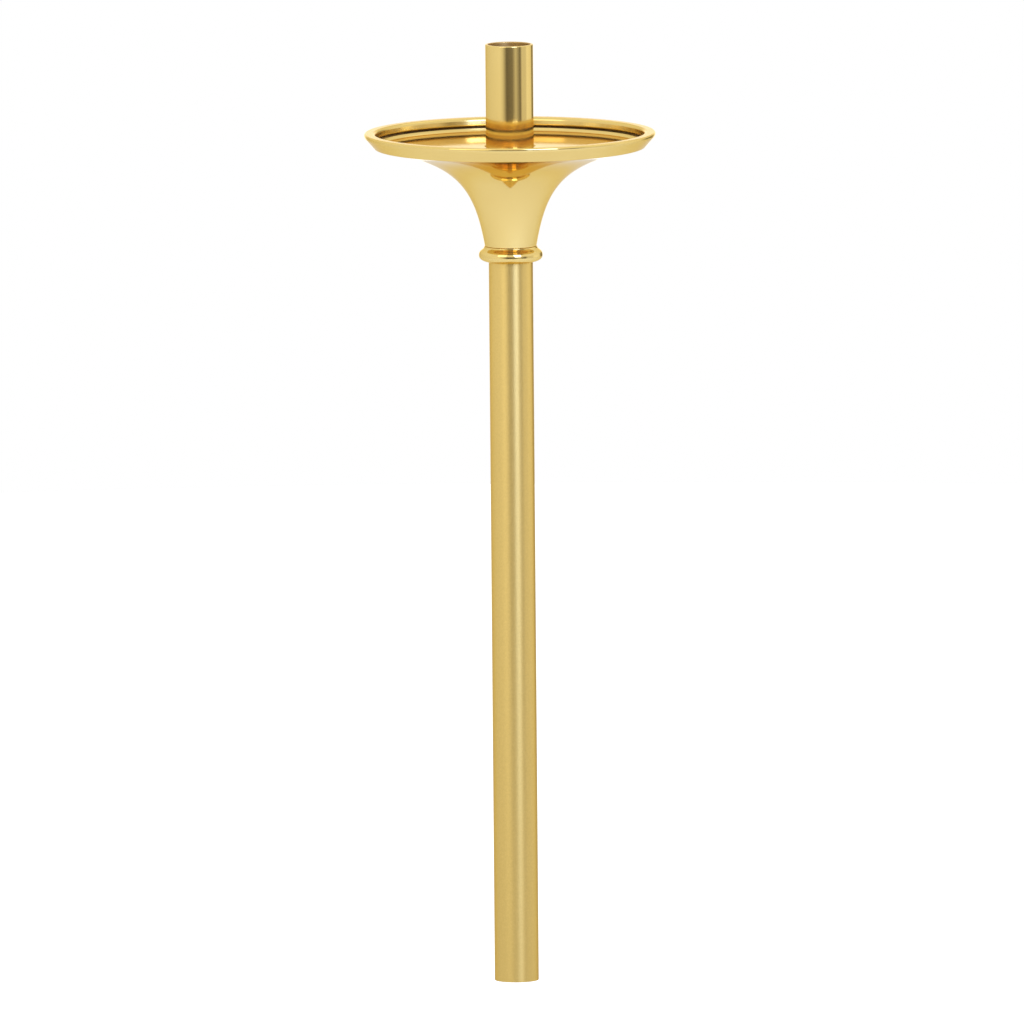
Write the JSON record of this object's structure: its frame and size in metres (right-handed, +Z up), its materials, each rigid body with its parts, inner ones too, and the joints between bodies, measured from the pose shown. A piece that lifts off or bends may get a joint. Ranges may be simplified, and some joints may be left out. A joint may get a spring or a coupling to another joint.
{
  "type": "processional torch",
  "caption": "Brass processional torch with a tube socket for a candle, a lift-out wax pan in a rimmed dish, a spun trumpet bell and a satin shaft that the head unscrews from.",
  "frame": {"origin": "centre of the shaft's square-cut lower end", "axes": "+Z up along the shaft towards the candle socket, -Y towards the camera"},
  "size_m": [0.1544, 0.1542, 0.4995],
  "materials": {
    "polished_brass": "mirror polished and lacquered",
    "satin_brass": "satin, brushed round the tube, lacquered",
    "turned_brass": "as turned",
    "zinc_steel": "zinc plated",
    "red_fibre": "vulcanised fibre, matt"
  },
  "bodies": {
    "shaft": {"shaft_tube": "satin_brass", "foot_plug": "turned_brass", "top_bush": "turned_brass"},
    "neck_washer": {"neck_washer": "red_fibre"},
    "head": {"neck_collar": "polished_brass", "bell": "polished_brass", "hub_washer": "zinc_steel", "hub_lock_washer": "zinc_steel", "hub_nut": "zinc_steel", "centre_stud": "zinc_steel", "seat_nut": "zinc_steel"},
    "pan": {"wax_pan": "polished_brass"},
    "socket_washer": {"socket_washer": "red_fibre"},
    "socket": {"socket_base": "turned_brass", "candle_tube": "polished_brass"}
  },
  "joints": [
    {"name": "head_turn", "type": "hinge", "parent": "shaft", "child": "neck_washer", "pos_m": [0, 0, 0.3837], "axis": [0, 0, 1], "range_deg": [0, 2880]},
    {"name": "head_rise", "type": "slide", "parent": "neck_washer", "child": "head", "axis": [0, 0, 1], "range_m": [0, 0.01205]},
    {"name": "pan_lift", "type": "slide", "parent": "head", "child": "pan", "axis": [0, 0, 1], "range_m": [0, 0.07]},
    {"name": "socket_rise", "type": "slide", "parent": "head", "child": "socket_washer", "axis": [0, 0, 1], "range_m": [0, 0.00605]},
    {"name": "socket_turn", "type": "hinge", "parent": "socket_washer", "child": "socket", "pos_m": [0, 0, 0.4369], "axis": [0, 0, 1], "range_deg": [0, 1440]}
  ],
  "couplings": [
    {"joint": "head_rise", "follows": "head_turn", "m_per_rad": 0.00023873},
    {"joint": "socket_rise", "follows": "socket_turn", "m_per_rad": 0.00023873}
  ]
}
